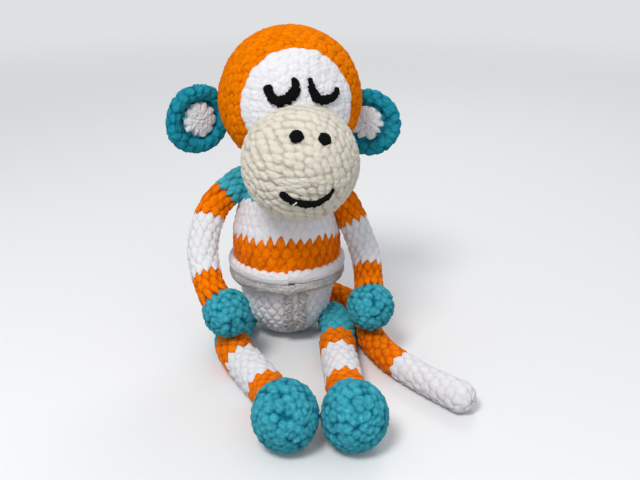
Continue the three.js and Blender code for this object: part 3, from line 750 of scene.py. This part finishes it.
def make_head():
    grid, outward, length = ball_grid((0, 0, 0), HEAD_RADIUS, pole_of(*HEAD_POLE), place=on_head)
    cover = crochet("head_crochet", grid, outward, length, ORANGE, seed=7, depth=2.0, wide=1.32, reach=1.5,
                    scale=0.3, lean=math.radians(12), stitch=8.0, row=5.5, jitter=0.24, sizes=0.3, fluff=0.26)
    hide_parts("head_cover")
    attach(cover, "head")

    # The patch ends where the muzzle hides it, and its grid goes a little past its last round.
    thickness, rounds, under_muzzle = 2.0, 7, 3.5
    radius = HEAD_RADIUS + GAP + thickness
    row = (PATCH_ANGLE * radius + 0.6) / rounds
    grid, outward, length = ball_grid((0, 0, 0), radius, pole_of(*HEAD_POLE), spacing=0.6, place=on_head,
                                      last=PATCH_ANGLE + 0.1)
    muzzle = on_head(MUZZLE_CENTRE)
    patch = crochet("face_patch_crochet", grid, outward, length, WHITE, seed=8, depth=1.4, drop=3.0, row=row,
                    stitch=8.2, wide=1.32, reach=1.7, last=rounds - 1, jitter=0.27, sizes=0.2,
                    keep=lambda mid: norm(mid - muzzle, axis=-1) > MUZZLE_RADIUS - under_muzzle)
    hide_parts("face_patch")
    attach(patch, "head")


def make_muzzle():
    inside_head = 3.5
    grid, outward, length = ball_grid(MUZZLE_CENTRE, MUZZLE_RADIUS, pole_of(*MUZZLE_POLE), spacing=0.75,
                                      place=on_head)

    # On its right the grains slope down toward the middle, and on its left they stand nearly upright.
    right_slope, left_slope = np.array([0.91, 0.0, -0.42]), np.array([0.26, 0.0, -0.97])
    across = unit(np.roll(grid, -1, axis=1) - np.roll(grid, 1, axis=1))
    along = unit(np.gradient(grid, axis=0))
    share = np.clip((grid[..., 0] - 12.0) / 22.0, 0, 1)[..., None]
    slope = (1 - share) * right_slope + share * left_slope
    lean = np.arctan2(-np.sum(slope * across, axis=-1), np.sum(slope * along, axis=-1))
    # At its upper left they are flatter.
    flat = np.clip((grid[..., 0] - 4.0) / 30.0 + (grid[..., 2] - 168.0) / 60.0, 0, 1)
    cover = crochet("muzzle_crochet", grid, outward, length, CREAM, seed=12, lean=lean,
                    depth=2.0 - 0.8 * flat, grain=(3.2, 5.5), taper=0.12, stitch=8.3, row=6.2, jitter=0.27,
                    sizes=0.3, puff=0.85, rise=0.7, drop=0.5,
                    keep=lambda mid: norm(mid - HEAD_CENTRE, axis=-1) > HEAD_RADIUS - inside_head)
    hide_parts("muzzle_cover")
    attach(cover, "head")


def make_face():
    # Routes are pairs of angles on the head or the muzzle, and widths are halves along them.
    patch_top, yarn_stand = 2.2, 1.2
    surface = HEAD_RADIUS + GAP + patch_top + yarn_stand
    right = [[-28.9, 18.9], [-26.4, 14.2], [-23.3, 10.4], [-18.4, 8.6], [-13.5, 10], [-9.4, 13.2],
             [-7.5, 17.5], [-7.3, 21.5], [-9.7, 25.7]]
    left = [[3.3, 26], [4.5, 21.8], [5.3, 17.7], [7.5, 13.6], [12.1, 10.9], [17.8, 10.8], [22.7, 12.5],
            [25, 15.9], [25.9, 19]]
    right_widths = [2.5, 3.5, 3.7, 3.5, 3.6, 3.8, 3.7, 2.9, 1.2]
    left_widths = [1.2, 2.1, 2.8, 3.5, 3.3, 3.1, 2.9, 2.3, 1.5]
    for node, route, widths, seed in (("right_eye", right, right_widths, 41),
                                      ("left_eye", left, left_widths, 42)):
        ball_yarn(f"{node}_yarn", (0, 0, 0), surface, route, widths, 2.0, node, seed, lump=4.4, ragged=0.17)
    mouth = [[-28.5, -13.3], [-23.8, -18.5], [-17.7, -21.8], [-8.7, -24.4], [0.6, -25.1], [7.8, -23.4],
             [14.5, -19.5], [19.3, -15], [22.2, -9.1]]
    widths = [2.5, 2.7, 2.7, 2.6, 2.8, 2.5, 2.0, 1.5, 0.9]
    ball_yarn("mouth_yarn", MUZZLE_CENTRE, MUZZLE_RADIUS + yarn_stand, mouth, widths, 1.9, "mouth", 43,
              ragged=0.14)
    # A thread of the muzzle's own yarn crosses the mouth.
    thread = [[-16.4, -25.2], [-14.4, -23.0], [-12.2, -21.4]]
    ball_yarn("mouth_catch_thread", MUZZLE_CENTRE, MUZZLE_RADIUS + 2.6, thread, 0.7, 0.6, None, 44, CREAM,
              "cream_yarn", ragged=0.1)
    bulge = 2.9
    for node, angle, size in (("right_nostril", (-18.2, 39.7), 5.0), ("left_nostril", (15.6, 37.5), 4.8)):
        middle = on_ball(MUZZLE_CENTRE, MUZZLE_RADIUS, [angle])[0]
        out = unit(middle - MUZZLE_CENTRE)
        grid, _, _ = ball_grid((0, 0, 0), 1.0, out, spacing=0.05)
        high = np.sum(grid * out, axis=-1, keepdims=True) * out
        flat = grid - high
        corners = 1 + 0.07 * wander(flat * 5, 4.0, 50 + int(angle[0])) + 0.05 * wander(grid * 5, 1.6, 51)
        grid = on_head(middle + (flat * size + high * bulge) * corners[..., None])
        ones = np.ones(grid.shape[:2])
        pad = tube_object(f"{node}_yarn", grid, {"pile_and_crease_shade": ones, "vary": ones * 0.5}, BLACK)
        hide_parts(node)
        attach(pad, "head")


# Ears

def ear_placer(side):
    """A function that takes points of an ear's own frame, where its hollow faces -Y, to the toy."""
    cupping, back, drop = math.radians(27), 29.0, 23.2
    inward = (EAR_RADIUS - EAR_RIM) * EAR_WIDENING
    reach = HEAD_RADIUS + GAP + EAR_RIM * EAR_WIDENING
    root = math.sqrt(reach ** 2 - back ** 2 - drop ** 2)
    centre = np.array([side * (root + inward * math.cos(cupping)), back - inward * math.sin(cupping), -drop])
    turn = turn_z(-side * math.degrees(cupping))
    return lambda points: on_head(points @ turn.T + centre)


def turned(radius, depth, sides):
    """Rings of points of an ear, from pairs of radius and depth along its outline."""
    angle = angles_of(sides)
    radius, depth = radius[:, None], depth[:, None] * np.ones((1, sides))
    across, up = radius * np.cos(angle)[None] * EAR_WIDENING, radius * np.sin(angle)[None]
    return np.stack([across, depth, up], axis=-1)


def make_ear(name, side, body):
    placed = ear_placer(side)
    zero = placed(np.zeros(3))
    cup_sides, disc_sides = 210, 150
    ring = EAR_RADIUS - EAR_RIM
    behind = [[r, 3.4 - 1.2 * (r / ring)] for r in np.linspace(0.4, ring - 5, 12)]
    roll = [[ring + EAR_RIM * math.cos(a), -EAR_RIM * math.sin(a)]
            for a in np.linspace(-math.pi * 0.80, math.pi * 0.86, 40)]
    front = [[r, 0.6] for r in np.linspace(ring - 6.4, 0.4, 12)]
    profile, length = evenly(np.array(behind + roll + front), 130)
    local = turned(profile[:, 0], profile[:, 1], cup_sides)
    rim_middle = turned(np.full(len(profile), ring), np.zeros(len(profile)), cup_sides)
    cup = crochet(f"{name}_crochet", placed(local), placed(local - rim_middle) - zero, length, TEAL,
                  seed=60 + side, depth=1.7, row=6.8, taper=0.15, wide=1.12, rise=0.4, fluff=0.34,
                  jitter=0.3, sizes=0.3)
    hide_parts(name)
    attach(cup, body)

    disc_radius, hollow, dishing = 12.8, -4.2, 1.0
    r = np.linspace(0.3, disc_radius + 1.6, 70)
    local = turned(r, hollow + dishing * (r / disc_radius) ** 2, disc_sides)
    forward = np.zeros_like(local)
    forward[..., 1] = -1
    disc = crochet(f"{name}_centre_crochet", placed(local), placed(forward) - zero, r[-1], BOUNCE_CANCELLING_WHITE,
                   seed=70 + side, depth=1.5, rise=0.2, stitch=6.2, last=1, taper=-0.7, reach=1.9, wide=1.3,
                   drop=3.2, jitter=0.3, sizes=0.3)
    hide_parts(f"{name}_centre")
    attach(disc, body)


# Limbs

def limb_grid(route, radii, end, stretch):
    """Rings along a limb's route, from its round root to a ball of the radius end, stretch times as high.

    The results are the rings, their outward directions, the length and the root's share of it.
    """
    spacing, soften, fine, inside, tip = 0.85, 5.0, 600, 14, 0.02
    points, length = evenly(curve_through(route), 400)
    root = radii[0]
    neck = math.asin(min(radii[-1] / end, 1))
    shaft = length - end * math.cos(neck)
    stations = [[-root * math.cos(a), root * math.sin(a)] for a in np.linspace(tip, math.pi / 2, 24)[:-1]]
    stations += [[d, np.interp(d / shaft, np.linspace(0, 1, len(radii)), radii)]
                 for d in np.linspace(0, shaft, 120)[:-1]]
    stations += [[length - end * math.cos(a), end * math.sin(a)]
                 for a in np.linspace(neck, math.pi - tip, 70)]

    # The radius changes gently, but keeps the round ends.
    profile, total = evenly(np.array(stations), fine)
    step = total / (fine - 1)
    mellow = smooth(profile[:, 1], int(soften / step))
    inner = np.clip(np.minimum(np.arange(fine), fine - 1 - np.arange(fine)) * step / inside, 0, 1)
    profile[:, 1] = profile[:, 1] * (1 - inner) + mellow * inner
    profile, total = evenly(profile, int(total / spacing))
    d, r = profile.T

    share = np.clip(d, 0, length)
    along = np.linspace(0, length, len(points))
    slopes = unit(np.gradient(points, axis=0))
    centre = np.stack([np.interp(share, along, points[:, i]) for i in range(3)], axis=-1)
    tangent = unit(np.stack([np.interp(share, along, slopes[:, i]) for i in range(3)], axis=-1))
    centre = centre + tangent * (d - share)[:, None]
    across = unit(np.cross(tangent, [0, 0, 1.0]))
    high = np.cross(across, tangent)
    tall = 1 + (stretch - 1) * np.clip((d - (length - end * 1.6)) / end, 0, 1)
    sides = int(2 * math.pi * max(end * 0.75, max(radii)) / spacing)
    around = angles_of(sides)
    upward = high[:, None] * (np.sin(around)[None, :, None] * tall[:, None, None])
    outward = across[:, None] * np.cos(around)[None, :, None] + upward
    grid = centre[:, None] + outward * r[:, None, None]
    return grid, outward, total, root * math.pi / 2


def limb(name, route, colours, seed, radii, end, stretch=1.0, **kind):
    """The cover of a limb, whose body has the same name.

    colours are pairs of a yarn, numbered as for crochet, and the place on the route where it ends.
    radii run along the route, and the ball at its end has the radius end and is stretch times as high.
    """
    grid, outward, total, start = limb_grid(route, radii, end, stretch)
    shades = np.array([shade for shade, _ in colours])
    stops = np.array([0.0] + [stop + start for _, stop in colours[:-1]] + [total])
    counts = np.maximum(1, np.round(np.diff(stops) / kind.pop("row", ROUND))).astype(int)
    heights = np.diff(stops) / counts

    def row(at):
        return heights[min(np.searchsorted(stops, at + 1.0) - 1, len(heights) - 1)]

    def colour(k):
        return shades[np.minimum(np.searchsorted(np.cumsum(counts), k, side="right"), len(shades) - 1)]

    # A hand or foot that stands out from its limb has loose lumps.
    lump_size, lumpy_length, lumps = 6.0, 2.35 * end, None
    if end > 1.3 * radii[0]:
        lumps = (np.array(route[-1], float), end, lump_size, total - lumpy_length)
    cover = crochet(f"{name}_crochet", grid, outward, total, STRIPED, colour, seed=seed, lumps=lumps,
                    row=row, **kind)
    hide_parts(f"{name}_cover")
    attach(cover, name)


def make_limbs():
    right_bends = [0, 0, 0], [-21, -12, -16.5], [-29.5, -33, -43], [-21, -57, -71]
    left_bends = [0, 0, 0], [17.2, -5, -28], [29.5, -18, -58], [32, -36, -81]
    out, up = 35.5, 133
    right = [np.array([-out, 0, up]) + bend for bend in right_bends] + [[-44.4, -66, 47.2]]
    left = [np.array([out, 0, up]) + bend for bend in left_bends] + [[68.2, -46, 42.4]]
    arm = dict(radii=[11.9, 11.9, 11.6], end=HAND_RADIUS, stitch=7.6, row=7.0, taper=0.35,
               lean=math.radians(12), wide=1.06, reach=1.7, scale=0.5, sizes=0.22, fang=1, depth=2.3)
    limb("right_arm", right, [(2, 17), (0, 40.3), (1, 88.8), (0, 108), (2, 0)], 81, **arm)
    limb("left_arm", left, [(2, 10), (0, 38), (1, 76.6), (0, 95.6), (2, 0)], 82, **arm)

    low = 13.5
    foot = FOOT_RADIUS * FOOT_STRETCH - 0.5
    right = [[-38, -6, 12.5], [-44, -41, low], [-39, -66, low], [-27, -91, low], [-10, -124, low],
             [4.45, -173.5, foot]]
    left = [[38, -6, 12.5], [42.5, -30, low], [42, -60, low], [43.5, -90, low], [47, -126, low],
            [50.75, -173.5, foot]]
    leg = dict(radii=[13, 14, 14, 13.4], end=FOOT_RADIUS, stretch=FOOT_STRETCH, floor=0.0, taper=-0.3,
               lean=math.radians(8), wide=1.08, reach=1.7, sizes=0.22, scale=-0.5, depth=1.8, fang=-1)
    limb("right_leg", right, [(2, 52), (0, 78.5), (1, 122), (0, 158), (2, 0)], 83, **leg)
    limb("left_leg", left, [(2, 45.9), (0, 69.7), (1, 107.9), (0, 150), (2, 0)], 84, **leg)

    low, beside = 10.5, 63
    tail = [[6, 38, 10], [16, 49, low], [34, 47, low], [51, 31, low], [beside, 8, low],
            [beside + 4.5, -18, low], [beside + 8, -44, low], [beside + 23.5, -78, low],
            [beside + 40, -100.5, low], [beside + 66, -129, 11.1]]
    limb("tail", tail, [(0, 181.4), (1, 0)], 85, radii=[10.5, 11, 11, 11], end=11.6, floor=0.0, row=7.4,
         stitch=8.6, taper=-0.25, lean=math.radians(25), wide=1.08, reach=1.7, scale=-0.5, depth=1.9)


def make_neck():
    radius, height, half = 13.5, 144.4, 2.5
    ring = ring_object("neck_stitches", radius, height, half, half, ORANGE, 90, strands=3)
    ring.data.transform(Matrix.Translation((HEAD_CENTRE[0] * MM, 0, 0)))
    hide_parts("neck_seam")
    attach(ring, "neck")


def dress_stuffing():
    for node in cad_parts:
        if node.endswith("_stuffing"):
            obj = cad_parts[node]
            for slot in obj.material_slots:
                slot.material = FIBRE


# Floor, light and camera

def seen_directly(tree):
    """1 for rays from the camera or off something shiny, and 0 for rays that light the scene."""
    path = tree.nodes.new("ShaderNodeLightPath")
    total = path.outputs["Is Camera Ray"]
    for kind in ("Is Glossy Ray", "Is Transmission Ray"):
        rays = {0: total, 1: path.outputs[kind]}
        total = add_node(tree, "ShaderNodeMath", 0, rays, operation="ADD", use_clamp=True)
    return total


def make_stage():
    """A floor that looks nearly white, throws back less light than it shows, and fades to the backdrop."""
    half, fade_from, fade_to = 14000.0, 0.35, 1.9
    thrown_back, shown = (0.5, 0.5, 0.5, 1), (0.88, 0.885, 0.89, 1)
    verts = np.array([[-half, -half, 0], [half, -half, 0], [half, half, 0], [-half, half, 0]])
    material = bpy.data.materials.new("pale_floor")
    material.use_nodes = True
    tree = material.node_tree
    shader = tree.nodes["Principled BSDF"]
    seen = seen_directly(tree)
    tone = add_node(tree, "ShaderNodeMix", "Result", {"Factor": seen, "A": thrown_back, "B": shown},
                    data_type="RGBA")
    feed(tree, shader, {"Base Color": tone, "Roughness": 0.9, "Specular IOR Level": 0.1})
    place = add_node(tree, "ShaderNodeTexCoord", "Object", {})
    away = add_node(tree, "ShaderNodeVectorMath", "Value", {0: place}, operation="LENGTH")
    limits = {"Value": away, "From Min": fade_from, "From Max": fade_to}
    fade = add_node(tree, "ShaderNodeMapRange", "Result", limits, interpolation_type="SMOOTHSTEP")
    share = add_node(tree, "ShaderNodeMath", 0, {0: fade, 1: seen}, operation="MULTIPLY")
    glow = add_node(tree, "ShaderNodeEmission", "Emission", {"Color": BACKDROP})
    layers = {"Fac": share, 1: shader.outputs["BSDF"], 2: glow}
    blend = add_node(tree, "ShaderNodeMixShader", "Shader", layers)
    feed(tree, tree.nodes["Material Output"], {"Surface": blend})
    floor = make_object("floor", verts, np.array([[0, 1, 2, 3]]), material=material)


def area_light(name, place, aim, size, power, colour=(1, 1, 1)):
    data = bpy.data.lights.new(name, "AREA")
    data.shape = "DISK"
    data.size = size
    data.energy = power
    data.color = colour
    lamp = bpy.data.objects.new(name, data)
    lamp.location = place
    lamp.rotation_euler = (Vector(aim) - Vector(place)).to_track_quat("-Z", "Y").to_euler()
    bpy.context.scene.collection.objects.link(lamp)


def make_light():
    scene = bpy.context.scene
    world = bpy.data.worlds.new("soft_room")
    world.use_nodes = True
    tree = world.node_tree
    sky = tree.nodes["Background"]
    feed(tree, sky, {"Color": (0.93, 0.96, 1.0, 1), "Strength": 0.5})
    backdrop = add_node(tree, "ShaderNodeBackground", "Background", {"Color": BACKDROP})
    layers = {"Fac": seen_directly(tree), 1: sky.outputs["Background"], 2: backdrop}
    blend = add_node(tree, "ShaderNodeMixShader", "Shader", layers)
    feed(tree, tree.nodes["World Output"], {"Surface": blend})
    scene.world = world
    area_light("key", (-0.36, -0.82, 1.3), (0.02, -0.03, 0.12), size=0.5, power=12.5,
               colour=(1.0, 0.985, 0.97))
    area_light("fill", (0.5, -1.25, 0.5), (0.02, 0, 0.1), size=0.9, power=2.1, colour=(0.97, 0.98, 1.0))
    area_light("back", (0.3, 0.9, 1.0), (0, 0, 0.15), size=0.6, power=3.0)
    scene.view_settings.view_transform = "Standard"


def make_camera():
    """The photograph's camera, with its focal length fitted in pixels."""
    sensor, focal_pixels, picture_pixels = 36, 850, 640
    data = bpy.data.cameras.new("camera")
    data.sensor_width = sensor
    data.lens = focal_pixels / picture_pixels * sensor
    camera = bpy.data.objects.new("camera", data)
    camera.location = (0.02781, -0.65673, 0.34641)
    camera.rotation_euler = (math.radians(68), 0, 0)
    bpy.context.scene.collection.objects.link(camera)
    bpy.context.scene.camera = camera


make_camera()
make_body()
make_rounds()
make_fly()
make_head()
make_muzzle()
make_face()
make_ear("right_ear", -1, "right_ear_body")
make_ear("left_ear", 1, "left_ear_body")
make_limbs()
make_neck()
dress_stuffing()
make_stage()
make_light()
